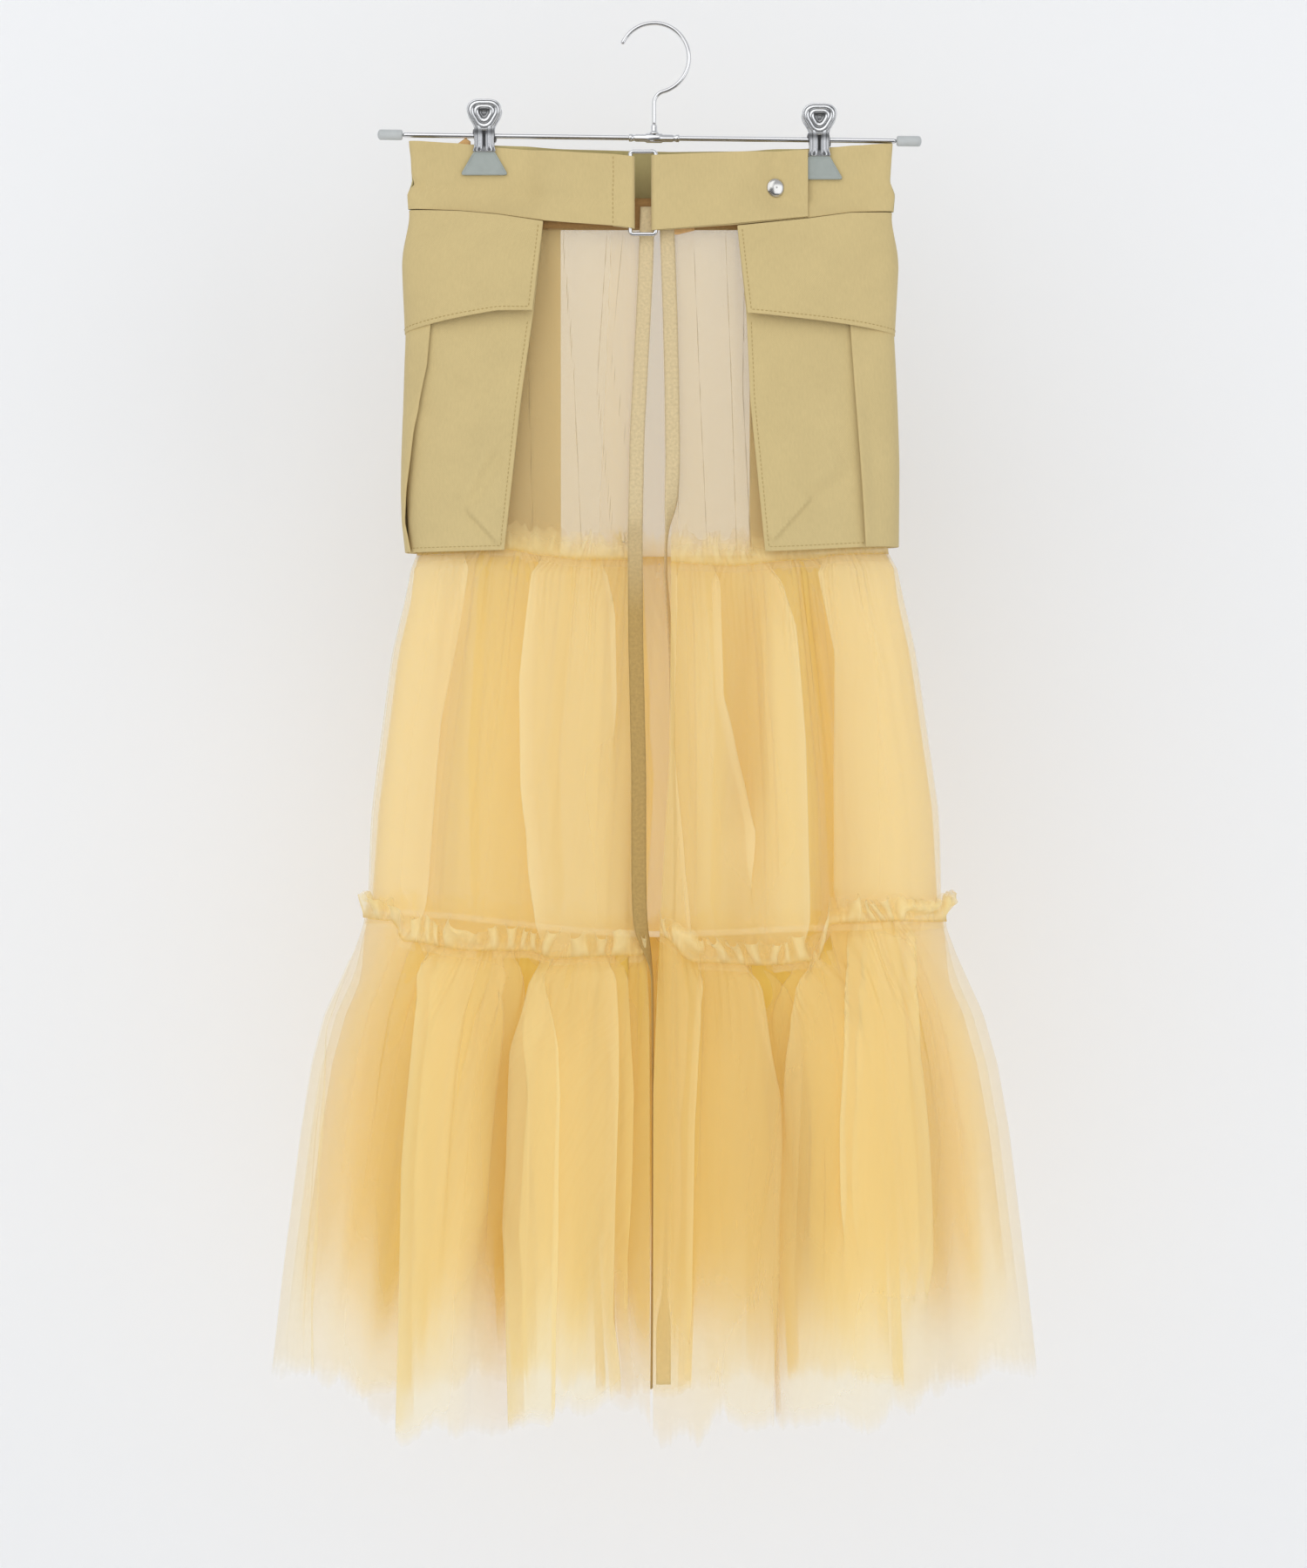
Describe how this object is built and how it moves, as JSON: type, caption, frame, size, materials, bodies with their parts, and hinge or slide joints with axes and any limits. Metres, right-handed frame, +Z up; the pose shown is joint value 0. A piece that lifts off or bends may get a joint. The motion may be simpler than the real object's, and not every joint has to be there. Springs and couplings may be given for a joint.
{
  "type": "tulle skirt on a clip hanger",
  "caption": "Tiered tulle skirt, open down the front with tie ribbons, under a twill cargo belt with flap pockets, held at its waist by a clip hanger.",
  "frame": {"origin": "inside top of the hanger's hook, where the hook rests on what carries it", "axes": "+Z up, the front of the skirt faces -Y, +X to the viewer's right"},
  "size_m": [0.5284, 0.1276, 0.9718],
  "materials": {
    "twill": "matt khaki-yellow cotton twill",
    "tulle": "soft yellow net, gathered in layers",
    "sheer_tulle": "one flat layer of net, pale beige against the light",
    "ribbon": "narrow khaki woven ribbon",
    "tape": "golden brown woven tape",
    "chrome": "polished bright metal",
    "vinyl": "grey-green soft plastic",
    "grey_rubber": "matt light grey rubber"
  },
  "bodies": {
    "root": {"base_panel_left": "twill", "pocket_bag_left": "twill", "box_pleat_left": "twill", "flap_left": "twill", "base_panel_right": "twill", "pocket_bag_right": "twill", "box_pleat_right": "twill", "flap_right": "twill", "waistband_left": "twill", "waistband_right": "twill", "waistband_back": "twill", "strap_end": "twill", "ring_buckle": "chrome", "snap_cap": "chrome", "hook": "chrome", "rod": "chrome", "cross_sleeve": "chrome", "stem_socket": "chrome", "inner_waistband": "tape", "hanging_tape_left": "tape", "hanging_tape_front": "tape", "yoke_left": "sheer_tulle", "middle_tier_left": "tulle", "middle_under_left": "tulle", "middle_heading_left": "tulle", "bottom_tier_left": "tulle", "bottom_under_left": "tulle", "bottom_heading_left": "tulle", "yoke_back": "sheer_tulle", "middle_tier_back": "tulle", "middle_under_back": "tulle", "middle_heading_back": "tulle", "bottom_tier_back": "tulle", "bottom_under_back": "tulle", "bottom_heading_back": "tulle", "yoke_right": "sheer_tulle", "middle_tier_right": "tulle", "middle_under_right": "tulle", "middle_heading_right": "tulle", "bottom_tier_right": "tulle", "bottom_under_right": "tulle", "bottom_heading_right": "tulle", "ribbon_left": "ribbon", "end_cap_left": "grey_rubber", "clip_plate_front_left": "chrome", "clip_pad_front_left": "vinyl", "clip_plate_back_left": "chrome", "clip_pad_back_left": "vinyl", "clip_spring_left": "chrome", "ribbon_right": "ribbon", "end_cap_right": "grey_rubber", "clip_plate_front_right": "chrome", "clip_pad_front_right": "vinyl", "clip_plate_back_right": "chrome", "clip_pad_back_right": "vinyl", "clip_spring_right": "chrome"}
  },
  "joints": []
}
